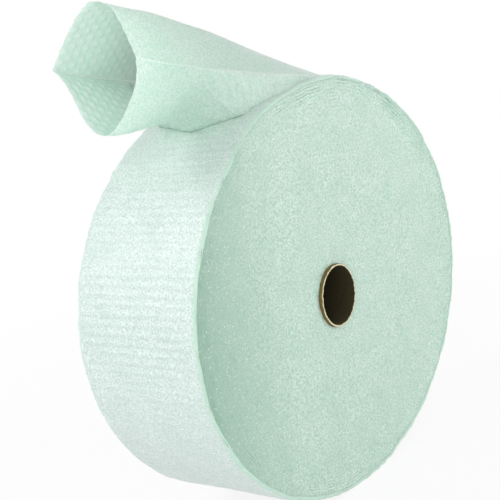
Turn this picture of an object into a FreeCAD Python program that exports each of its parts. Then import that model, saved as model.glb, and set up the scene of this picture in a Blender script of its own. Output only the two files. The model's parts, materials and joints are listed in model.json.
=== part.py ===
import os

import FreeCAD, Part
import Sketcher

# A bubble wrap roll: film wound on a board core, lying on its side.
# The core lies along Y and the roll stands on the flat spot under its middle.
# The free end leaves the top toward -X. It is a flattened tube of film that
# has sprung open, so its cut end shows a mouth.
# The model's origin is the middle of the flat spot, and Z points up.
# Inside each body, heights count from the middle of the oval outline.

# The driving sizes, in millimetres and degrees.
SIZES = {
    # The roll.
    "roll_width": 177,  # length of the roll along its core
    "roll_across": 630,  # oval outline, side to side
    "roll_high": 533,  # oval outline, bottom to top, before the flat spot
    "rim_bevel": 5,  # bevel that stands for the soft edges of the outermost turn
    "flat_chord": 80,  # flat spot that the roll rests on
    "turn_steps": 6,  # steps that stand for the turns on each end
    "rim_run": 20,  # the outer turns that stand proud, from the rim inward
    "rim_drop": 4,  # first step, down from these turns
    "dish_depth": 10,  # how far each end sinks from its rim to the core
    "film_thick": 4,  # one layer of film with its bubbles
    # The core sits a little to the tail's side of the outline's middle, and low.
    "core_bore": 76.2,  # inside diameter of the core
    "core_wall": 3,  # board thickness
    "core_proud": 5,  # core past the sunk film at each end
    "core_play": 0.2,  # play between the core and the first turn, across the diameter
    "core_aside": -14,  # core axis along X
    "core_low": -9,  # core axis along Z
    # The tail, station by station: heights above the outline's middle, half widths along Y.
    "lift_x": 130,  # station where the tail lifts off the turns
    "lift_half": 87,  # half width there, at the creases
    "lift_floor": 237,  # lower wall there
    "lift_crease": 242,  # both creases there
    "lift_ridge": 247,  # ridge there
    "crown_x": 0,  # station over the core
    "crown_half": 81,  # half width there
    "crown_floor": 262,  # lower wall there
    "crown_crease": 271,  # both creases there
    "crown_ridge": 306,  # ridge there
    "mid_x": -150,  # station halfway along the free part
    "mid_half": 68,  # half width there
    "mid_floor": 251,  # lower wall there
    "mid_crease": 292,  # both creases there
    "mid_ridge": 358,  # ridge there
    "tip_x": -350,  # station just past the cut
    "tip_half": 47,  # half width there
    "tip_floor": 245,  # lower wall there
    "tip_crease": 323,  # both creases there
    "tip_ridge": 396,  # ridge there
    "part_x": 80,  # station where the two walls part inside
    "part_half": 50,  # half width of the hollow there
    "part_floor": 262,  # floor of the hollow there
    "part_crease": 264,  # edges of the hollow there
    "part_ridge": 266,  # roof of the hollow there
    "crown_lip": 1,  # edges of the hollow above its floor over the core
    "wall_radius": 260,  # outward bulge of the tail's walls
    "hollow_radius": 700,  # the same bulge on their inner side
    "crease_film": 8,  # film at a crease, along Y
    "mouth_x": -309,  # cut end, at the middle of the tail
    "mouth_slant": 19,  # turn of the cut about Z, in degrees
    "mouth_low": 220,  # height below which the cut touches nothing
}

doc = FreeCAD.newDocument("bubble_wrap_roll")
sheet = doc.addObject("Spreadsheet::Sheet", "sizes")
for row, alias in enumerate(SIZES, 1):
    sheet.set("A%d" % row, alias)
    sheet.set("B%d" % row, str(SIZES[alias]))
    sheet.setAlias("B%d" % row, alias)
doc.recompute()


def now(alias):
    """Read one named size back from the sheet."""
    return float(sheet.get(alias))


def new_body(name):
    """Add an empty body with this name and label."""
    body = doc.addObject("PartDesign::Body", name)
    body.Label = name
    return body


def sketch_on(body, name, role, ahead="0", right="0", up="0"):
    """Add a sketch on the origin plane with this role, moved by three formulas."""
    sketch = body.newObject("Sketcher::SketchObject", name)
    plane = next(f for f in body.Origin.OriginFeatures if f.Role == role)
    sketch.AttachmentSupport = (plane, [""])
    sketch.MapMode = "FlatFace"
    sketch.setExpression("AttachmentOffset.Base.x", right)
    sketch.setExpression("AttachmentOffset.Base.y", up)
    sketch.setExpression("AttachmentOffset.Base.z", ahead)
    return sketch


def bind(sketch, name, formula, *what):
    """Add a named constraint and tie it to a formula on the sheet."""
    number = sketch.addConstraint(Sketcher.Constraint(*what))
    sketch.renameConstraint(number, name)
    sketch.setExpression(".Constraints." + name, formula)


def draw_ring(sketch, formula, diameter):
    """Draw a circle round the sketch's origin."""
    middle = FreeCAD.Vector(0, 0, 0)
    axis = FreeCAD.Vector(0, 0, 1)
    ring = sketch.addGeometry(Part.Circle(middle, axis, diameter / 2))
    sketch.addConstraint(Sketcher.Constraint("Coincident", ring, 3, -1, 1))
    bind(sketch, "diameter%d" % ring, formula, "Diameter", ring, diameter)


def draw_oval(sketch, across_formula, across, high_formula, high):
    """Draw a level oval round the sketch's origin."""
    oval = sketch.addGeometry(Part.Ellipse(FreeCAD.Vector(0, 0, 0), across / 2, high / 2))
    sketch.exposeInternalGeometry(oval)
    long_axis = oval + 1
    short_axis = oval + 2
    sketch.addConstraint(Sketcher.Constraint("Coincident", oval, 3, -1, 1))
    sketch.addConstraint(Sketcher.Constraint("Horizontal", long_axis))
    bind(sketch, "across", across_formula, "Distance", long_axis, across)
    bind(sketch, "high", high_formula, "Distance", short_axis, high)


def draw_box(sketch, left, right, bottom, top):
    """Draw a rectangle. Each side is its formula and its place now."""
    low_left = FreeCAD.Vector(left[1], bottom[1], 0)
    low_right = FreeCAD.Vector(right[1], bottom[1], 0)
    top_right = FreeCAD.Vector(right[1], top[1], 0)
    top_left = FreeCAD.Vector(left[1], top[1], 0)
    corners = [low_left, low_right, top_right, top_left]
    for i in range(4):
        sketch.addGeometry(Part.LineSegment(corners[i], corners[(i + 1) % 4]))
    for i in range(4):
        sketch.addConstraint(Sketcher.Constraint("Coincident", i, 2, (i + 1) % 4, 1))
    for i in (0, 2):
        sketch.addConstraint(Sketcher.Constraint("Horizontal", i))
    for i in (1, 3):
        sketch.addConstraint(Sketcher.Constraint("Vertical", i))
    bind(sketch, "left", left[0], "DistanceX", -1, 1, 0, 1, left[1])
    bind(sketch, "right", right[0], "DistanceX", -1, 1, 0, 2, right[1])
    bind(sketch, "bottom", bottom[0], "DistanceY", -1, 1, 0, 1, bottom[1])
    bind(sketch, "top", top[0], "DistanceY", -1, 1, 2, 1, top[1])


def bulged(start, end, radius):
    """Give the arc of this radius from start to end that bulges to its right."""
    chord = end - start
    right = FreeCAD.Vector(chord.y, -chord.x, 0).normalize()
    rise = radius - (radius ** 2 - (chord.Length / 2) ** 2) ** 0.5
    return Part.Arc(start, (start + end) / 2 + right * rise, end)


def tube_section(body, name, bulge, station, half, floor, crease, ridge):
    """Draw the tube across X: four bulged walls between near crease, floor, far crease and ridge.

    Bulge is the alias of the walls' radius and station a formula. The others are each
    a formula and its size now.
    """
    sketch = sketch_on(body, name, "YZ_Plane", ahead=station)
    corners = [
        FreeCAD.Vector(-half[1], crease[1], 0),
        FreeCAD.Vector(0, floor[1], 0),
        FreeCAD.Vector(half[1], crease[1], 0),
        FreeCAD.Vector(0, ridge[1], 0),
    ]
    for i in range(4):
        sketch.addGeometry(bulged(corners[i], corners[(i + 1) % 4], now(bulge)))
    for i in range(4):
        sketch.addConstraint(Sketcher.Constraint("Coincident", i, 2, (i + 1) % 4, 1))
    # Corner 1 of the loop starts wall 0, and so on round.
    sketch.addConstraint(Sketcher.Constraint("PointOnObject", 1, 1, -2))
    sketch.addConstraint(Sketcher.Constraint("PointOnObject", 3, 1, -2))
    sketch.addConstraint(Sketcher.Constraint("Symmetric", 0, 1, 2, 1, -2))
    bind(sketch, "half", half[0], "DistanceX", -1, 1, 2, 1, half[1])
    bind(sketch, "crease", crease[0], "DistanceY", -1, 1, 2, 1, crease[1])
    bind(sketch, "floor", floor[0], "DistanceY", -1, 1, 1, 1, floor[1])
    bind(sketch, "ridge", ridge[0], "DistanceY", -1, 1, 3, 1, ridge[1])
    for i in range(4):
        bind(sketch, "wall%d" % i, "sizes." + bulge, "Radius", i, now(bulge))
    return sketch


def outer_size(place, what):
    """Formula and size of one of the tail's outside measures."""
    alias = place + "_" + what
    return ("sizes." + alias, now(alias))


def inner_size(place, what, film, sign):
    """The same measure of the hollow inside, less the film round it."""
    alias = place + "_" + what
    formula = "sizes.%s %s sizes.%s" % (alias, "+" if sign > 0 else "-", film)
    return (formula, now(alias) + sign * now(film))


def loft(body, kind, name, sections):
    """Run a smooth loft through the sections."""
    feature = body.newObject("PartDesign::" + kind, name)
    feature.Profile = sections[0]
    feature.Sections = sections[1:]
    for sketch in sections:
        sketch.Visibility = False
    return feature


# The wound film, as one oval block.
film = new_body("bubble_film")
outline = sketch_on(film, "roll_outline", "XZ_Plane")
draw_oval(outline, "sizes.roll_across", now("roll_across"), "sizes.roll_high", now("roll_high"))
block = film.newObject("PartDesign::Pad", "roll_block")
block.Profile = outline
block.setExpression("Length", "sizes.roll_width")
block.Midplane = True
doc.recompute()
rims = []
for i, edge in enumerate(block.Shape.Edges):
    if edge.BoundBox.YLength < now("rim_bevel"):
        rims.append("Edge%d" % (i + 1))
soft_rims = film.newObject("PartDesign::Chamfer", "soft_rims")
soft_rims.Base = (block, rims)
soft_rims.setExpression("Size", "sizes.rim_bevel")

# Each end sinks toward the core in steps, which stand for the turns.
front = "sizes.roll_width / 2"
steps = []
core_outer = "(sizes.core_bore + 2 * sizes.core_wall)"
core_outer_now = now("core_bore") + 2 * now("core_wall")
rim = "sizes.rim_run * 2 / (sizes.roll_across - %s)" % core_outer
rim_now = now("rim_run") * 2 / (now("roll_across") - core_outer_now)
for k in range(int(now("turn_steps"))):
    # How far in the step lies: 0 is the rim and 1 the core.
    share = "(%s + (1 - %s) * %d / sizes.turn_steps)" % (rim, rim, k)
    share_now = rim_now + (1 - rim_now) * k / now("turn_steps")
    sketch = sketch_on(
        film, "turn_%d" % (k + 1), "XZ_Plane", front,
        "sizes.core_aside * " + share, "sizes.core_low * " + share)
    across = "sizes.roll_across + (%s - sizes.roll_across) * %s" % (core_outer, share)
    high = "sizes.roll_high + (%s - sizes.roll_high) * %s" % (core_outer, share)
    across_now = now("roll_across") + (core_outer_now - now("roll_across")) * share_now
    high_now = now("roll_high") + (core_outer_now - now("roll_high")) * share_now
    draw_oval(sketch, across, across_now, high, high_now)
    step = film.newObject("PartDesign::Pocket", "step_%d" % (k + 1))
    step.Profile = sketch
    step.setExpression(
        "Length",
        "sizes.rim_drop + (sizes.dish_depth - sizes.rim_drop) * %d / (sizes.turn_steps - 1)" % k)
    steps.append(step)
back_steps = film.newObject("PartDesign::Mirrored", "back_steps")
back_steps.Originals = steps
middle_plane = next(f for f in film.Origin.OriginFeatures if f.Role == "XZ_Plane")
back_steps.MirrorPlane = (middle_plane, [""])
film.Tip = back_steps

# The hole that the core fills.
core_hole = sketch_on(film, "core_hole", "XZ_Plane", "0", "sizes.core_aside", "sizes.core_low")
draw_ring(core_hole, core_outer + " + sizes.core_play", core_outer_now + now("core_play"))
core_room = film.newObject("PartDesign::Pocket", "core_room")
core_room.Profile = core_hole
core_room.setExpression("Length", "2 * sizes.roll_width")
core_room.Midplane = True

# The tail: the outside of the tube, then the hollow that starts over the crown.
outside = []
for place in ("lift", "crown", "mid", "tip"):
    outside.append(tube_section(
        film, place + "_outside", "wall_radius", "sizes.%s_x" % place,
        outer_size(place, "half"), outer_size(place, "floor"),
        outer_size(place, "crease"), outer_size(place, "ridge")))
loft(film, "AdditiveLoft", "tail_outside", outside)
hollow = [tube_section(
    film, "part_hollow", "hollow_radius", "sizes.part_x",
    outer_size("part", "half"), outer_size("part", "floor"),
    outer_size("part", "crease"), outer_size("part", "ridge"))]
crown_floor = "sizes.roll_high / 2 + sizes.film_thick"
crown_floor_now = now("roll_high") / 2 + now("film_thick")
hollow.append(tube_section(
    film, "crown_hollow", "hollow_radius", "sizes.crown_x",
    inner_size("crown", "half", "crease_film", -1), (crown_floor, crown_floor_now),
    (crown_floor + " + sizes.crown_lip", crown_floor_now + now("crown_lip")),
    inner_size("crown", "ridge", "film_thick", -1)))
for place in ("mid", "tip"):
    hollow.append(tube_section(
        film, place + "_hollow", "hollow_radius", "sizes.%s_x" % place,
        inner_size(place, "half", "crease_film", -1), inner_size(place, "floor", "film_thick", 1),
        outer_size(place, "crease"), inner_size(place, "ridge", "film_thick", -1)))
loft(film, "SubtractiveLoft", "tail_hollow", hollow)

# The cut end stands a little askew.
cut = sketch_on(film, "mouth_cut", "XY_Plane", "sizes.mouth_low", "sizes.mouth_x")
cut.setExpression("AttachmentOffset.Rotation.Angle", "sizes.mouth_slant")
reach = "2 * sizes.roll_width"
reach_now = 2 * now("roll_width")
draw_box(cut, ("-" + reach, -reach_now), ("0", 0), ("-" + reach, -reach_now), (reach, reach_now))
mouth = film.newObject("PartDesign::Pocket", "mouth")
mouth.Profile = cut
mouth.Reversed = True
mouth.setExpression("Length", reach)

# The flat spot that the roll's weight presses.
flat_share = (1 - (now("flat_chord") / now("roll_across")) ** 2) ** 0.5
flat_top = (
    "-sizes.roll_high / 2 * sqrt(1 - (sizes.flat_chord / sizes.roll_across) ^ 2)",
    -now("roll_high") / 2 * flat_share)
under = sketch_on(film, "flat_outline", "XZ_Plane")
draw_box(
    under, ("-sizes.flat_chord", -now("flat_chord")), ("sizes.flat_chord", now("flat_chord")),
    ("-sizes.roll_high", -now("roll_high")), flat_top)
flat_spot = film.newObject("PartDesign::Pocket", "flat_spot")
flat_spot.Profile = under
flat_spot.setExpression("Length", "2 * sizes.roll_width")
flat_spot.Midplane = True

# The core: a plain board tube.
core = new_body("cardboard_core")
core_section = sketch_on(core, "core_section", "XZ_Plane", "0", "sizes.core_aside", "sizes.core_low")
draw_ring(core_section, core_outer, core_outer_now)
draw_ring(core_section, "sizes.core_bore", now("core_bore"))
tube = core.newObject("PartDesign::Pad", "core_tube")
tube.Profile = core_section
tube.setExpression("Length", "sizes.roll_width + 2 * (sizes.core_proud - sizes.dish_depth)")
tube.Midplane = True

# Both stand on the flat spot.
for body in (film, core):
    body.setExpression("Placement.Base.z", "-(%s)" % flat_top[0])

doc.recompute()

for thing in doc.Objects:
    if "Invalid" in thing.State or "Error" in thing.State:
        raise RuntimeError("%s did not compute: %s" % (thing.Name, thing.State))

os.makedirs("parts", exist_ok=True)
for body in (film, core):
    shape = body.Shape
    if shape.isNull() or not shape.isValid():
        raise RuntimeError("%s has no sound shape" % body.Label)
    print(body.Label, len(shape.Solids), "solid", round(shape.Volume), "mm3", shape.BoundBox)
    shape.exportStep("parts/%s.step" % body.Label)
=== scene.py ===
import json
import math

import bpy
import numpy as np
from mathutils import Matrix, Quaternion, Vector


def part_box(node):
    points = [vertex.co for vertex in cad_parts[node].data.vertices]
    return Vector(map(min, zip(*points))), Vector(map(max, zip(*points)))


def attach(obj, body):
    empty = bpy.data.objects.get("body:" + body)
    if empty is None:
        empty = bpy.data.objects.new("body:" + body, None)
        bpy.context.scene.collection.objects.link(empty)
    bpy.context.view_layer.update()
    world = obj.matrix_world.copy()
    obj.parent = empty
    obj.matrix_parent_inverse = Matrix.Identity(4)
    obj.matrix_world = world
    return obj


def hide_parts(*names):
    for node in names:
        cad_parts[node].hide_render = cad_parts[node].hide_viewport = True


# A bubble wrap roll: film wound on a board core, lying on its side with its
# free end, a tube of film sprung open, standing off the top toward -X.
# Y runs along the core and the front end faces -Y. Lengths are in metres.

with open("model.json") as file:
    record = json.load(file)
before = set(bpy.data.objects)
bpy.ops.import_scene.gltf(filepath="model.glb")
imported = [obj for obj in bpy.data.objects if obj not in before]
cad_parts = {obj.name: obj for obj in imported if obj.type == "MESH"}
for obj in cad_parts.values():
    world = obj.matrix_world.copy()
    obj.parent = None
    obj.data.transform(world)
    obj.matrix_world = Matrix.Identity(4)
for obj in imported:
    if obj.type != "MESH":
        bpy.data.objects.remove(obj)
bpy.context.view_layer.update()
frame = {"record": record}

MM = 0.001

# Sizes that the frame gives.
film_low, film_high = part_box("bubble_film")
core_low, core_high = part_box("cardboard_core")
bore = next(m for m in frame["record"]["mounts"] if m["name"] == "core_bore")
HALF_WIDTH = film_high[1]
HALF_ACROSS = film_high[0]
CORE_X = bore["pos_m"][0]
CORE_Z = bore["pos_m"][2]
BORE_RADIUS = bore["dims"]["r_mm"] * MM
CORE_RADIUS = (core_high[0] - core_low[0]) / 2
CORE_HALF = core_high[1]

# The roll's outline stands on a flat spot, so its middle is a little low.
HALF_HIGH = 266.5 * MM
FLAT_CHORD = 80 * MM
MID_Z = HALF_HIGH * math.sqrt(1 - (FLAT_CHORD / 2 / HALF_ACROSS) ** 2)

# The film: a flattened tube, so each turn is two layers with a fold at each end.
TURNS = 31
GIRTH = 4 * HALF_WIDTH
BUBBLE = 10 * MM
BUBBLE_PITCH = 12.7 * MM
ROW_PITCH = 11 * MM
FILM_SKIN = 0.8 * MM
BUBBLE_INSIDE = 0.8 * MM  # height of the tail's bubbles on their own side
BUBBLE_OUTSIDE = 0.9 * MM  # dent that they make in the smooth side

# The roll's ends: a soft rim, outer turns that stand proud, then a shallow dish.
RIM_WIDE = 9 * MM
RIM_DEEP = 3.5 * MM
RIM_PROUD = 6 * MM
RIM_FADE = 14 * MM
DISH = 10 * MM

# The outer turns have sprung up at the crown, and near the front under the tail.
LOOSE_X = 0 * MM
LOOSE_RISE = 5 * MM
LOOSE_REACH = 190 * MM
PULL_X = -150 * MM
PULL_RISE = 6 * MM
PULL_REACH = 80 * MM
PULL_Y = 20 * MM
PULL_FADE = 60 * MM

# The side's bubble rows show most where its film is slack, a little above the middle.
SLACK_ABOVE = 20 * MM
SLACK_REACH = 65 * MM
TIGHT_SHARE = 0.3

# The tail at four stations along X: half width, and heights above the outline's middle.
STATIONS = np.array([130, 0, -150, -350]) * MM
TAIL_HALF = np.array([87, 81, 68, 47]) * MM
TAIL_FLOOR = np.array([237, 262, 251, 245]) * MM
TAIL_CREASE = np.array([242, 271, 292, 323]) * MM
TAIL_RIDGE = np.array([247, 306, 358, 396]) * MM
TAIL_START = 150 * MM
MOUTH_X = -309 * MM
MOUTH_SLANT = math.radians(19)
FILM_LENGTH = (TAIL_START - MOUTH_X) * 1.06  # 6% more than the way along X, for its curve

# How the tail's lower walls lie on the turns. Each X is where something sets in toward
# +X, and the reach after it is the way that it takes.
LIFT_OFF = -205 * MM  # the walls come down
LIFT_REACH = 85 * MM
FOOT_X = -150 * MM  # their feet spread out to the roll's rims
FOOT_REACH = 90 * MM
GRIP_X = 15 * MM  # the whole tail follows the turns
GRIP_REACH = 75 * MM
FOOT_EDGE = 3 * MM  # the feet stop this far inside the rims
TAIL_FOOT = 0.8  # share of a wall that lies flat, next to the floor's middle
TAIL_SINK = 4.5 * MM
TAIL_HANG = 9 * MM
HANG_FADE = 30 * MM

# The cut end as the film has sprung open: Y and height above the outline's middle,
# from the near crease over the ridge to the far crease, and back along the floor.
MOUTH_OVER = [
    (-47, 327), (-42, 347), (-37, 365), (-31, 380), (-21, 388), (-8, 390),
    (1, 383), (11, 374), (26, 355), (45, 326)]
MOUTH_UNDER = [
    (45, 326), (36, 316), (31, 303), (26, 287), (21, 269), (13, 255), (2, 246),
    (-9, 248), (-24, 265), (-34, 282), (-42, 297), (-46, 312), (-47, 327)]

# Points closer than this are joined, and edges sharper than this stay sharp.
WELD = 0.01 * MM
SHARP = math.radians(50)

WHITE = (1, 1, 1, 1)


def bare_selection():
    """Deselect everything."""
    bpy.ops.object.select_all(action="DESELECT")


def ripple(points, size, seed, waves=14):
    """A smooth uneven value from about -1 to 1 at each point, with lumps of this size."""
    chance = np.random.RandomState(seed)
    way = chance.normal(size=(waves, 3))
    way /= np.linalg.norm(way, axis=1)[:, None]
    pace = 2 * math.pi / (size * chance.uniform(0.7, 1.5, waves))
    start = chance.uniform(0, 2 * math.pi, waves)
    return np.sin(points @ (way * pace[:, None]).T + start).sum(axis=1) / math.sqrt(waves)


def smooth_step(value):
    """A value eased from 0 to 1, flat at both ends."""
    share = np.clip(value, 0, 1)
    return share * share * (3 - 2 * share)


def read_along(values, share):
    """Value at this share of the way along a list of values."""
    last = len(values) - 1
    return np.interp(share * last, np.arange(last + 1), values)


def formed_sheet(name, along, across, place, film=None, doubled=False):
    """Add a flat grid, then move each of its points to its place on the film.

    Film gives the place of each point on the unrolled film, in metres, for the UV map.
    A doubled sheet turns back at its middle, so its second half is the inner side.
    """
    bare_selection()
    bpy.ops.mesh.primitive_grid_add(x_subdivisions=along, y_subdivisions=across, size=1)
    piece = bpy.context.object
    piece.name = name
    piece.data.name = name
    flat = np.empty(len(piece.data.vertices) * 3)
    piece.data.vertices.foreach_get("co", flat)
    flat = flat.reshape(-1, 3)
    u = np.clip(flat[:, 0] + 0.5, 0, 1)
    v = np.clip(flat[:, 1] + 0.5, 0, 1)
    piece.data.vertices.foreach_set("co", place(u, v).ravel())
    piece.data.update()
    if film:
        spread = piece.data.uv_layers.active.uv
        square = np.empty(len(spread) * 2)
        spread.foreach_get("vector", square)
        square = np.clip(square.reshape(-1, 2), 0, 1)
        spread.foreach_set("vector", film(square[:, 0], square[:, 1]).ravel())
        side = piece.data.attributes.new("inner_side", "FLOAT", "CORNER")
        side.data.foreach_set("value", (square[:, 0] > 0.5) * float(doubled))
    bpy.ops.object.mode_set(mode="EDIT")
    bpy.ops.mesh.select_all(action="SELECT")
    bpy.ops.mesh.remove_doubles(threshold=WELD)
    bpy.ops.mesh.normals_make_consistent(inside=False)
    bpy.ops.object.mode_set(mode="OBJECT")
    bpy.ops.object.shade_smooth_by_angle(angle=SHARP)
    return piece


def dress(piece, material, node):
    """Give a piece its material and hand it to the frame."""
    piece.data.materials.clear()
    piece.data.materials.append(material)
    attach(piece, "root")
    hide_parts(node)


def outline(share, angle):
    """X and Z on the turn at this share of the way from the core to the outermost one."""
    middle_x = CORE_X * (1 - share)
    middle_z = CORE_Z + (MID_Z - CORE_Z) * share
    across = CORE_RADIUS + (HALF_ACROSS - CORE_RADIUS) * share
    high = CORE_RADIUS + (HALF_HIGH - CORE_RADIUS) * share
    return middle_x + across * np.cos(angle), middle_z + high * np.sin(angle)


def even_angles(u):
    """Angles that divide the outermost turn into equal lengths, and its whole length."""
    fine = np.linspace(0, 2 * math.pi, 2001)
    x, z = outline(1.0, fine)
    length = np.concatenate([[0], np.cumsum(np.hypot(np.diff(x), np.diff(z)))])
    return np.interp(u * length[-1], length, fine), length[-1]


def loosened(x, y):
    """How far the outer turns have sprung up."""
    crown = np.cos(np.clip((x - LOOSE_X) / LOOSE_REACH, -1, 1) * math.pi / 2) ** 2
    under = np.cos(np.clip((x - PULL_X) / PULL_REACH, -1, 1) * math.pi / 2) ** 2
    return LOOSE_RISE * crown + PULL_RISE * under * smooth_step((PULL_Y - y) / PULL_FADE)


def bubble_domes(along, across):
    """Height from 0 to 1 of the bubbles, which stand in staggered rows across the film."""
    row = np.floor(along / ROW_PITCH)
    height = np.zeros_like(along)
    for near_row in (row - 1, row, row + 1):
        shift = 0.5 * BUBBLE_PITCH * (near_row % 2)
        off_row = along - (near_row + 0.5) * ROW_PITCH
        off_column = (across + shift) % BUBBLE_PITCH - BUBBLE_PITCH / 2
        reach = (off_row ** 2 + off_column ** 2) / (BUBBLE / 2) ** 2
        height = np.maximum(height, np.clip(1 - reach, 0, 1) ** 0.6)
    return height


def make_outer_turn():
    """The outermost turn: smooth film outside, bubbles showing faintly, soft rims.

    Its section starts behind the folded edges at +Y, comes out over that rim, runs along
    the side and goes in again over the other rim.
    """
    side_points = 80
    corner = np.radians([90, 75, 60, 45, 30, 15, 0])
    rim_in = RIM_DEEP * (1 - np.cos(corner))
    rim_out = HALF_WIDTH - RIM_WIDE + RIM_WIDE * np.sin(corner)
    flange_in = RIM_DEEP + np.array([6, 6, 2.5, 0.8]) * MM
    flange_out = HALF_WIDTH - np.array([13, 6, 3, 0.6]) * MM
    side_out = np.linspace(rim_out[-1], -rim_out[-1], side_points)
    depth = np.concatenate([
        flange_in, rim_in, np.zeros(side_points - 2), rim_in[::-1], flange_in[::-1]])
    y = np.concatenate([flange_out, rim_out, side_out[1:-1], -rim_out[::-1], -flange_out[::-1]])
    depth = np.append(depth, depth[0])
    y = np.append(y, y[0])
    unrolled = even_angles(np.array([0.0]))[1]
    rows_round = 2 * round(unrolled / ROW_PITCH / 2)

    def place(u, v):
        side = read_along(y, v)
        x, z = outline(1.0, even_angles(u)[0])
        normal_x = x / HALF_ACROSS ** 2
        normal_z = (z - MID_Z) / HALF_HIGH ** 2
        size = np.hypot(normal_x, normal_z)
        at = np.column_stack([x, side, z])
        from_rim = HALF_WIDTH - np.abs(side)
        # Bubbles and their rows, away from the rims, and the film's own unevenness.
        along = u * rows_round * ROW_PITCH
        rows = 0.5 - 0.5 * np.cos(2 * math.pi * along / ROW_PITCH)
        loose = np.exp(-((z - MID_Z - SLACK_ABOVE) / SLACK_REACH) ** 2)
        slack = TIGHT_SHARE + (1 - TIGHT_SHARE) * loose
        open_side = np.clip(from_rim / (16 * MM), 0, 1)
        rise = (0.4 * bubble_domes(along, side) + 1.1 * rows) * slack * MM * open_side
        rise += 0.5 * MM * ripple(at, 70 * MM, 1) + 0.2 * MM * ripple(at, 16 * MM, 2)
        # Small tucks gather the film at the rims.
        gathered = np.clip(1 - from_rim / (14 * MM), 0, 1)
        tucks = 0.25 * MM * ripple(at, 8 * MM, 3) + 0.25 * MM * ripple(at, 20 * MM, 4)
        out = rise - read_along(depth, v) + tucks * gathered + loosened(x, side) * (z > MID_Z)
        side = side + (0.5 * MM * ripple(at, 45 * MM, 5) + tucks) * gathered * np.sign(side)
        x = x + out * normal_x / size
        z = z + out * normal_z / size
        return np.column_stack([x, side, np.maximum(z, 0)])

    def film(u, v):
        return np.column_stack([u * rows_round * ROW_PITCH, read_along(y, v)])

    return formed_sheet("outer_turn", 830, len(y) - 1, place, film)


def face_depth(share):
    """How far the end face lies inside the rim: the outer turns stand proud, then a shallow dish."""
    inward = (1 - share) * HALF_HIGH
    return (DISH - RIM_PROUD) * (1 - share) + RIM_PROUD * (1 - np.exp(-inward / RIM_FADE))


def make_turn_edges(name, facing, seed):
    """The folded edges of all turns on one end, wound in a spiral and closed behind.

    Each turn shows two layers, so its edge has two soft ridges, puckered by the bubbles.
    From the rim the sheet goes in behind the face and back to the core.
    """
    ridges = np.array([-0.3, 0.1, 0.2, -0.2, 0.2, 0.1]) * MM
    rows = len(ridges)
    face_rows = (TURNS + 1) * rows
    count = face_rows + 3
    last = 1 - RIM_DEEP / HALF_ACROSS
    start = math.radians(65)  # where the spiral goes from one turn to the next
    hidden_depth = 12 * MM
    clear_of_floor = 1 * MM

    def place(u, v):
        row = np.round(v * count).astype(int)
        angle = u * 2 * math.pi + start
        turn = np.clip(row / rows - 1 + u, 0, TURNS) * (row < count - 1)
        share = turn / TURNS * last
        x, z = outline(share, angle)
        at = np.column_stack([x, np.zeros_like(x), z])
        puckers = 0.3 * MM * ripple(at, 12 * MM, seed) + 0.2 * MM * ripple(at, 8 * MM, seed + 1)
        uneven = 0.5 * MM * ripple(at, 60 * MM, seed + 2)
        wander = 0.7 * MM * ripple(at, 22 * MM, seed + 3) / HALF_ACROSS
        x, z = outline(share + wander * (share > 0.03), angle)
        # The ridges stand out most near the rim, in streaks.
        streaks = np.clip(0.6 + 0.7 * ripple(at, 30 * MM, seed + 4), 0, 2)
        bold = 0.4 + 2.4 * np.clip((share - 0.84) / 0.1, 0, 1) * streaks
        side = HALF_WIDTH - face_depth(share) + puckers + uneven
        side += ridges[row % rows] * bold * (turn > 0) * (turn < TURNS)
        side -= hidden_depth * (row > face_rows) * (row < count)
        sprung = loosened(x, facing * HALF_WIDTH) * (z > MID_Z) * smooth_step((share - 0.8) / 0.2)
        x = x + sprung * np.cos(angle)
        z = z + sprung * np.sin(angle)
        return np.column_stack([x, facing * side, np.maximum(z, clear_of_floor)])

    return formed_sheet(name, 420, count, place)


def make_inner_turns():
    """The wound film between the two ends, out of sight behind the edges."""
    half = HALF_WIDTH - 14 * MM - DISH
    inmost = 0.002
    outmost = 0.97
    share = np.array([inmost, inmost, outmost, outmost, inmost])
    y = np.array([-half, half, half, -half, -half])

    def place(u, v):
        x, z = outline(read_along(share, v), u * 2 * math.pi)
        return np.column_stack([x, read_along(y, v), z])

    return formed_sheet("inner_turns", 240, len(y) - 1, place)


def station(values, x):
    """A tail measure at X, on the smooth curve through its four stations."""
    return np.polyval(np.polyfit(STATIONS, values, 3), x)


def roll_top(x, y):
    """Height of the wound turns' upper side above the outline's middle, down over their rims."""
    level = np.sqrt(np.clip(1 - (x / HALF_ACROSS) ** 2, 0, 1))
    top = HALF_HIGH * level + loosened(x, y) / np.maximum(level, 0.5)
    past = np.clip((np.abs(y) - HALF_WIDTH) / RIM_WIDE + 1, 0, 1)
    return top - RIM_DEEP * (1 - np.sqrt(1 - past ** 2))


def even_chain(points, share):
    """Points at these shares of the length of a chain of corners, its bends smoothed."""
    corners = np.array(points) * MM
    length = np.concatenate([[0], np.cumsum(np.hypot(*np.diff(corners, axis=0).T))])
    fine = np.linspace(0, 1, 241)
    smooth = np.column_stack([np.interp(fine * length[-1], length, corners[:, i]) for i in (0, 1)])
    for again in range(60):
        smooth[1:-1] = (smooth[:-2] + 2 * smooth[1:-1] + smooth[2:]) / 4
    return np.column_stack([np.interp(share, fine, smooth[:, i]) for i in (0, 1)])


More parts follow.
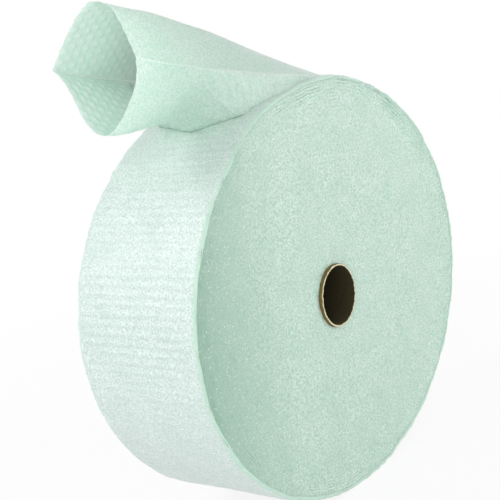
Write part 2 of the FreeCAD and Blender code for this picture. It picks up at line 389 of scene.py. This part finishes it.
def plain_section(x, round_it):
    """Y and height on the tail's plain section at X, four bulged walls between its creases.

    Over the roll the lower walls lie on the turns out to the rims, and stand up to the
    creases from there.
    """
    wall = (round_it * 4) % 4
    over = wall < 2
    toward = np.where(over, wall - 1, 3 - wall)
    rise = 1 - np.abs(toward) ** 1.15
    half = station(TAIL_HALF, x)
    crease = station(TAIL_CREASE, x)
    top = crease + (station(TAIL_RIDGE, x) - crease) * rise
    low = crease - (crease - station(TAIL_FLOOR, x)) * rise
    out_to_rim = smooth_step((x - FOOT_X) / FOOT_REACH)
    foot = half + np.maximum(HALF_WIDTH - FOOT_EDGE - half, 0) * out_to_rim
    stand = np.clip((1 - np.abs(toward)) / (1 - TAIL_FOOT), 0, 1)
    reach_y = np.where(
        stand < 1, half + (foot - half) * smooth_step(stand), foot * np.abs(toward) / TAIL_FOOT)
    ground = roll_top(x, reach_y) - TAIL_SINK
    lying = np.where(over, 0, smooth_step((x - LIFT_OFF) / LIFT_REACH))
    y = toward * half + (np.sign(toward) * reach_y - toward * half) * lying
    low = low + (crease + (ground - crease) * stand ** 0.8 - low) * lying
    # The film hangs down on to the turns beneath, but not at its creases.
    beneath = roll_top(x, y) - TAIL_SINK
    gap = np.maximum(low - beneath, 0)
    hang = np.minimum(gap, TAIL_HANG) * (1 - smooth_step((gap - TAIL_HANG) / HANG_FADE))
    low = low - hang * (1 - np.abs(toward) ** 3)
    return y, np.where(over, top, low)


def slanted(y, reach):
    """X at this reach from the tail's start to the slanted cut."""
    return TAIL_START + (MOUTH_X - math.tan(MOUTH_SLANT) * y - TAIL_START) * reach


def mouth_change(round_it):
    """How far the real mouth lies from the plain section there."""
    share = round_it % 1
    mouth = np.where(
        (share < 0.5)[:, None],
        even_chain(MOUTH_OVER, np.clip(share * 2, 0, 1)),
        even_chain(MOUTH_UNDER, np.clip(share * 2 - 1, 0, 1)))
    y, z = plain_section(slanted(mouth[:, 0], 1), round_it)
    return mouth[:, 0] - y, mouth[:, 1] - z


def tail_place(reach, round_it):
    """Point on the outside of the tail.

    Reach goes from 0 under the turns to 1 at the cut. Round_it goes from the near
    crease over the ridge (0.25) and the far crease (0.5) to the floor (0.75).
    """
    y = np.zeros_like(reach)
    change_y, change_z = mouth_change(round_it)
    # The section springs open into the mouth over the outer half of the tail.
    sprung = np.clip((reach - 0.45) / 0.55, 0, 1) ** 1.6
    # The slanted cut ties X to Y, and the section ties Y to X: three rounds settle both.
    for again in range(3):
        x = slanted(y, reach)
        y, z = plain_section(x, round_it)
        y = y + change_y * sprung
    z = z + change_z * sprung
    at = np.column_stack([x, y, z])
    # The free part is a little wavy.
    wave = 1.0 * MM
    free = np.clip(reach * 2.5 - 0.8, 0, 1)
    z = z + wave * ripple(at, 90 * MM, 21) * free
    y = y + wave * ripple(at, 80 * MM, 22) * free
    # Where the tail lies on the turns it follows them, and its start sinks under them.
    grip = smooth_step((x - GRIP_X) / GRIP_REACH)
    ground = roll_top(x, y) - TAIL_SINK - 1 * MM * grip
    z = np.maximum(z, ground)
    z = z + (ground - z) * grip
    return np.column_stack([x, y, z + MID_Z])


def make_free_tail():
    """The free tube of film: smooth outside, bubbles inside, open at its cut end."""
    rows = 176
    round_rows = 184

    def outside(reach, round_it):
        """Points on the outside of the tail, and which way is inward there."""
        nudge = 0.002
        here = tail_place(reach, round_it)
        ahead = tail_place(reach + nudge, round_it) - here
        beside = tail_place(reach, round_it + nudge) - here
        inward = np.cross(ahead, beside)
        inward /= np.linalg.norm(inward, axis=1)[:, None] + 1e-12
        return here, inward

    def place(u, v):
        is_inner = u > 0.5
        reach = np.clip(np.where(is_inner, 2 - 2 * u, 2 * u), 0, 1)
        here, inward = outside(reach, v)
        to_crease = np.minimum(np.minimum(v % 1, 1 - v % 1), np.abs(v % 1 - 0.5)) * GIRTH
        room = np.clip(to_crease / (4 * MM), 0, 1) * np.clip(reach * 3 - 0.8, 0, 1)
        bubbles = bubble_domes(reach * FILM_LENGTH, v * GIRTH) * room
        sealed = np.clip(reach / 0.01, 0, 1)
        depth = np.where(
            is_inner, (FILM_SKIN + BUBBLE_INSIDE * bubbles) * sealed, BUBBLE_OUTSIDE * bubbles)
        return here + inward * depth[:, None]

    def film(u, v):
        reach = np.where(u > 0.5, 2 - 2 * u, 2 * u)
        return np.column_stack([reach * FILM_LENGTH, v * GIRTH])

    return formed_sheet("free_tail", 2 * rows, round_rows, place, film, doubled=True)


def make_core():
    """The board tube, with an edge that the saw left a little ragged."""
    wall = (CORE_RADIUS - BORE_RADIUS) / MM
    radius = BORE_RADIUS + np.array([0, 0, 0.4, 0.7, 1.4, wall - 0.6, wall - 0.2, wall, wall]) * MM
    y = CORE_HALF - np.array([12, 1.6, 0.4, 0, 0, 0, 0.4, 1.6, 12]) * MM
    section_r = np.concatenate([radius, radius[::-1], radius[:1]])
    section_y = np.concatenate([y, -y[::-1], y[:1]])

    def place(u, v):
        angle = u * 2 * math.pi
        r = read_along(section_r, v)
        side = read_along(section_y, v)
        at = np.column_stack([r * np.cos(angle), side, r * np.sin(angle)])
        edge = np.clip((np.abs(side) - CORE_HALF + 3 * MM) / (3 * MM), 0, 1)
        ragged = (0.15 * ripple(at, 9 * MM, 31) + 0.25 * ripple(at, 3 * MM, 32)) * MM
        side = side + np.sign(side) * edge * ragged
        r = r + edge * 0.1 * MM * ripple(at, 6 * MM, 33)
        return np.column_stack([CORE_X + r * np.cos(angle), side, CORE_Z + r * np.sin(angle)])

    return formed_sheet("core_tube", 300, len(section_y) - 1, place)


def paint(hex_colour):
    """An sRGB hex colour as the linear values that a shader takes."""
    parts = [int(hex_colour[i:i + 2], 16) / 255 for i in (1, 3, 5)]
    linear = [c / 12.92 if c <= 0.04045 else ((c + 0.055) / 1.055) ** 2.4 for c in parts]
    return (*linear, 1)


def add_node(tree, kind, inputs=None, **settings):
    """Add a node with its settings. Each input is a constant or another node's output."""
    made = tree.nodes.new(kind)
    for name, setting in settings.items():
        setattr(made, name, setting)
    for socket, source in (inputs or {}).items():
        if isinstance(source, bpy.types.NodeSocket):
            tree.links.new(source, made.inputs[socket])
        else:
            made.inputs[socket].default_value = source
    return made


def reckon(tree, operation, *terms):
    """Output of a math node on these terms."""
    return add_node(tree, "ShaderNodeMath", dict(enumerate(terms)), operation=operation).outputs[0]


def reckon_vector(tree, operation, *terms):
    """Output of a vector math node on these terms."""
    made = add_node(tree, "ShaderNodeVectorMath", dict(enumerate(terms)), operation=operation)
    return made.outputs["Value" if operation == "LENGTH" else "Vector"]


def scaled(tree, value, start, end, low=0.0, high=1.0):
    """A value between start and end turned into one between low and high, and held there."""
    limits = {"From Min": start, "From Max": end, "To Min": low, "To Max": high}
    return add_node(tree, "ShaderNodeMapRange", {"Value": value, **limits}).outputs["Result"]


def mixed(tree, share, under, over):
    """Colour between two, each a hex colour or another node's output."""
    both = {}
    for socket, colour in (("A", under), ("B", over)):
        both[socket] = paint(colour) if isinstance(colour, str) else colour
    return add_node(tree, "ShaderNodeMix", {"Factor": share, **both}, data_type="RGBA").outputs["Result"]


def noise(tree, place, size, detail=2.0, roughness=0.5):
    """Noise with lumps of this size."""
    return add_node(
        tree, "ShaderNodeTexNoise",
        {"Vector": place, "Scale": 1 / size, "Detail": detail, "Roughness": roughness})


def on_axis(tree, vector, axis):
    """One axis of a vector."""
    return add_node(tree, "ShaderNodeSeparateXYZ", {"Vector": vector}).outputs[axis]


def new_material(name):
    """An empty material's tree, with its output."""
    material = bpy.data.materials.new(name)
    material.use_nodes = True
    tree = material.node_tree
    tree.nodes.clear()
    return material, tree, tree.nodes.new("ShaderNodeOutputMaterial")


def bubble_distance(tree):
    """Distance to the nearest bubble's middle on the unrolled film, in metres."""
    film = add_node(tree, "ShaderNodeUVMap").outputs["UV"]
    uneven = noise(tree, film, 20 * MM).outputs["Color"]
    centred = reckon_vector(tree, "SUBTRACT", uneven, (0.5, 0.5, 0.5))
    drift = add_node(tree, "ShaderNodeVectorMath", {0: centred, "Scale": 2 * MM}, operation="SCALE")
    moved = reckon_vector(tree, "ADD", film, drift.outputs[0])
    steps = reckon_vector(tree, "DIVIDE", moved, (2 * ROW_PITCH, BUBBLE_PITCH, 1))
    rows = []
    for shift in ((0.25, 0, 0), (0.75, 0.5, 0)):
        share = reckon_vector(tree, "FRACTION", reckon_vector(tree, "ADD", steps, shift))
        off = reckon_vector(tree, "SUBTRACT", share, (0.5, 0.5, 0))
        flat = reckon_vector(tree, "MULTIPLY", off, (2 * ROW_PITCH, BUBBLE_PITCH, 0))
        rows.append(reckon_vector(tree, "LENGTH", flat))
    return reckon(tree, "MINIMUM", *rows)


def painted_fold_highlight(tree):
    """Painted highlight: how strongly a thin bright line is painted on the tube's two folds."""
    film = add_node(tree, "ShaderNodeUVMap").outputs["UV"]
    walls = reckon(tree, "DIVIDE", on_axis(tree, film, "Y"), 2 * HALF_WIDTH)
    nearest = reckon(tree, "PINGPONG", walls, 0.5)
    return scaled(tree, nearest, 0.7 * MM / HALF_WIDTH, 0.3 * MM / HALF_WIDTH, 0, 0.4)


def polyethylene_film(
        name, pale, deep, glint, grain, relief, rough, deepness,
        bubbles=0.0, folded=False, rim=None, loose=None):
    """Blown polyethylene film with a green tint, many layers deep.

    Its tone varies with the wrinkles: milky on their crests and greener in their hollows,
    the greener hollows partly painted shade. The thin film is wrinkled, so its bumps catch
    the light, and small glints are also painted into its colour as white specks. Grain is the
    size of its wrinkles, deepness how far light goes in, and bubbles how strong the painted
    highlights on the bubbles' crowns are on the smooth side. Rim is a colour for the rim, and
    loose a colour of painted shade toward -X.
    """
    material, tree, out = new_material(name)
    place = add_node(tree, "ShaderNodeTexCoord").outputs["Object"]
    wrinkles = noise(tree, place, grain, 3, 0.6).outputs["Fac"]
    # Partly painted shade: the colour is deeper green where the wrinkles' bumps are low.
    colour = mixed(tree, scaled(tree, wrinkles, 0.38, 0.62), deep, pale)
    patches = noise(tree, place, 40 * MM).outputs["Fac"]
    colour = mixed(tree, scaled(tree, patches, 0.4, 0.7, 0, 0.3), colour, deep)
    if loose:
        # Painted shade: the ends are coloured deeper green toward -X, on the tail's side.
        painted_shade_toward_tail = scaled(tree, on_axis(tree, place, "X"), -130 * MM, -300 * MM, 0, 0.8)
        colour = mixed(tree, painted_shade_toward_tail, colour, loose)
    # Painted glints: small white specks in the colour, one in each Voronoi cell.
    cells = add_node(tree, "ShaderNodeTexVoronoi", {"Vector": place, "Scale": 0.5 / grain})
    painted_glints = scaled(tree, cells.outputs["Distance"], 0.2, 0.08, 0, 0.8)
    colour = mixed(tree, painted_glints, colour, glint)
    if rim:
        outward = reckon(tree, "ABSOLUTE", on_axis(tree, place, "Y"))
        near_rim = scaled(tree, outward, HALF_WIDTH - 5 * MM, HALF_WIDTH - 1 * MM)
        colour = mixed(tree, near_rim, colour, rim)
    if bubbles:
        # Painted light: the inner side of the tube is coloured brighter, standing in for light that
        # comes through its walls, and each bubble's crown gets a painted highlight, strongest inside.
        inner = add_node(tree, "ShaderNodeAttribute", attribute_name="inner_side").outputs["Fac"]
        colour = mixed(tree, scaled(tree, inner, 0, 1, 0, 0.85), colour, "#D1F8E4")
        painted_bubble_highlights = scaled(tree, bubble_distance(tree), 2.2 * MM, 1.3 * MM)
        strength = reckon(tree, "MULTIPLY", painted_bubble_highlights, scaled(tree, inner, 0, 1, bubbles, 1))
        colour = mixed(tree, strength, colour, "#E7FFF3")
    # Painted highlight: a thin bright line along the tube's folds.
    if folded:
        colour = mixed(tree, painted_fold_highlight(tree), colour, "#E9FFF4")
    bump = add_node(
        tree, "ShaderNodeBump", {"Strength": relief, "Distance": grain / 3, "Height": wrinkles})
    film = add_node(
        tree, "ShaderNodeBsdfPrincipled",
        {"Base Color": colour, "Normal": bump.outputs["Normal"],
         "IOR": 1.51, "Roughness": rough, "Specular IOR Level": 0.3,
         "Subsurface Weight": 0.8, "Subsurface Radius": (1.0, 0.9, 0.95),
         "Subsurface Scale": deepness})
    tree.links.new(film.outputs["BSDF"], out.inputs["Surface"])
    return material


def spiral_wound_board():
    """Spiral-wound kraft board: dull and fibrous, with a helical seam.

    The outer ply is olive brown and the inner ply nearly black, partly painted shade for
    the deep bore, and the sawn ends show paler plies.
    """
    material, tree, out = new_material("spiral_wound_kraft_board")
    where = add_node(tree, "ShaderNodeTexCoord")
    place = where.outputs["Object"]
    centred = add_node(
        tree, "ShaderNodeMapping",
        {"Vector": place, "Location": (-CORE_X, 0, -CORE_Z)}).outputs["Vector"]
    # The seam between the strips of board runs round the tube in a helix.
    strip_wide = 70 * MM
    turn = reckon(tree, "ARCTAN2", on_axis(tree, centred, "Z"), on_axis(tree, centred, "X"))
    along = reckon(tree, "DIVIDE", on_axis(tree, centred, "Y"), strip_wide)
    helix = reckon(tree, "ADD", along, reckon(tree, "DIVIDE", turn, 2 * math.pi))
    seam_line = scaled(tree, reckon(tree, "FRACT", helix), 0.0, 0.02)
    fibre = noise(tree, place, 2.5 * MM, 4, 0.65).outputs["Fac"]
    kraft = mixed(tree, fibre, "#4A3F1B", "#85743F")
    # The inner ply's colour is nearly black, partly painted shade for the deep bore.
    liner_with_painted_shade = mixed(tree, fibre, "#1D1906", "#403912")
    radius = reckon_vector(tree, "LENGTH", reckon_vector(tree, "MULTIPLY", centred, (1, 0, 1)))
    outside = reckon(tree, "GREATER_THAN", radius, (BORE_RADIUS + CORE_RADIUS) / 2)
    lined = mixed(tree, seam_line, "#171205", mixed(tree, outside, liner_with_painted_shade, kraft))
    endways = reckon(tree, "ABSOLUTE", on_axis(tree, where.outputs["Normal"], "Y"))
    colour = mixed(tree, scaled(tree, endways, 0.6, 0.85), lined, "#D9D2B0")
    bump = add_node(tree, "ShaderNodeBump", {"Strength": 0.5, "Distance": 0.3 * MM, "Height": fibre})
    board = add_node(
        tree, "ShaderNodeBsdfPrincipled",
        {"Base Color": colour, "Normal": bump.outputs["Normal"], "IOR": 1.5, "Roughness": 0.85})
    tree.links.new(board.outputs["BSDF"], out.inputs["Surface"])
    return material


def seen_white(tree):
    """1 for the rays that should see plain white: from the camera, in gloss and through film."""
    rays = add_node(tree, "ShaderNodeLightPath").outputs
    some = reckon(tree, "MAXIMUM", rays["Is Camera Ray"], rays["Is Glossy Ray"])
    return reckon(tree, "MAXIMUM", some, rays["Is Transmission Ray"])


def make_floor():
    """A plain white floor that keeps the roll's shadow and has no visible far edge."""
    bare_selection()
    bpy.ops.mesh.primitive_plane_add(size=14)
    floor = bpy.context.object
    floor.name = "floor"
    material, tree, out = new_material("white_floor")
    place = add_node(tree, "ShaderNodeTexCoord").outputs["Object"]
    matte = add_node(tree, "ShaderNodeBsdfDiffuse", {"Color": paint("#FAFAFA")})
    plain = add_node(tree, "ShaderNodeEmission", {"Color": WHITE, "Strength": 1})
    # Near the roll some of the floor's own shade stays, and farther out it is plain white.
    fade = scaled(tree, reckon_vector(tree, "LENGTH", place), 0.5, 1.4, 0.86, 1.0)
    surface = add_node(
        tree, "ShaderNodeMixShader",
        {0: reckon(tree, "MULTIPLY", seen_white(tree), fade),
         1: matte.outputs["BSDF"], 2: plain.outputs["Emission"]})
    tree.links.new(surface.outputs["Shader"], out.inputs["Surface"])
    floor.data.materials.append(material)


def make_world():
    """Soft light from all round, and plain white where nothing stands."""
    world = bpy.data.worlds.new("studio")
    bpy.context.scene.world = world
    world.use_nodes = True
    tree = world.node_tree
    tree.nodes.clear()
    out = tree.nodes.new("ShaderNodeOutputWorld")
    level = scaled(tree, seen_white(tree), 0, 1, 0.64, 1.0)
    sky = add_node(tree, "ShaderNodeBackground", {"Color": WHITE, "Strength": level})
    tree.links.new(sky.outputs["Background"], out.inputs["Surface"])


def soft_light(name, place, aim, size, watts):
    """A square soft light at a place, turned to a point."""
    data = bpy.data.lights.new(name, "AREA")
    data.size = size
    data.energy = watts
    lamp = bpy.data.objects.new(name, data)
    bpy.context.scene.collection.objects.link(lamp)
    lamp.location = place
    lamp.rotation_mode = "QUATERNION"
    lamp.rotation_quaternion = (Vector(aim) - Vector(place)).to_track_quat("-Z", "Y")


def make_camera():
    """The photograph's viewpoint: left of the front end, a little above the roll's middle.

    Its numbers were fitted to the outlines in the photograph.
    """
    azimuth = math.radians(-52.95)
    elevation = math.radians(11.41)
    tilt = math.radians(-7.95)
    data = bpy.data.cameras.new("camera")
    camera = bpy.data.objects.new("camera", data)
    bpy.context.scene.collection.objects.link(camera)
    back = Vector((
        math.sin(azimuth) * math.cos(elevation),
        -math.cos(azimuth) * math.cos(elevation),
        math.sin(elevation)))
    camera.location = (-1.1601, -0.8186, 0.3361 + MID_Z)
    camera.rotation_mode = "QUATERNION"
    camera.rotation_quaternion = (-back).to_track_quat("-Z", "Y") @ Quaternion((0, 0, 1), tilt)
    data.lens = 78.08
    data.sensor_width = 36
    data.shift_x = -0.0044
    data.shift_y = 0.0057
    bpy.context.scene.camera = camera


side_film = polyethylene_film(
    "polyethylene_film_side", pale="#E0E9E6", deep="#BDCFC9", glint="#FCFFFE",
    grain=2.2 * MM, relief=0.6, rough=0.3, deepness=5 * MM, bubbles=0.12, rim="#BFDCCC")
# The folded edges get painted shade toward -X, in their loose colour.
edge_film = polyethylene_film(
    "polyethylene_film_folded_edges", pale="#DAEAE1", deep="#AACCBB", glint="#FAFFFC",
    grain=2.4 * MM, relief=0.8, rough=0.34, deepness=5 * MM, loose="#98BAA9")
tail_film = polyethylene_film(
    "polyethylene_film_single", pale="#DFF7EA", deep="#BAE4CE", glint="#FCFFFD",
    grain=2.4 * MM, relief=0.6, rough=0.36, deepness=4 * MM, bubbles=0.12, folded=True)
board = spiral_wound_board()

dress(make_outer_turn(), side_film, "bubble_film")
dress(make_turn_edges("front_turns", -1, 40), edge_film, "bubble_film")
dress(make_turn_edges("back_turns", 1, 60), edge_film, "bubble_film")
dress(make_inner_turns(), edge_film, "bubble_film")
free_tail = make_free_tail()
dress(free_tail, tail_film, "bubble_film")
dress(make_core(), board, "cardboard_core")

make_floor()
make_world()
soft_light("key_softbox", (-2.1, 1.6, 2.2), (0, 0, 0.3), 1.2, 31)
soft_light("front_softbox", (1.05, -1.45, 0.65), (0, 0, 0.3), 0.9, 8)
soft_light("left_softbox", (-1.9, -0.95, 1.0), (0, 0, 0.4), 1.0, 12.5)
make_camera()

bpy.context.scene.view_settings.view_transform = "Standard"
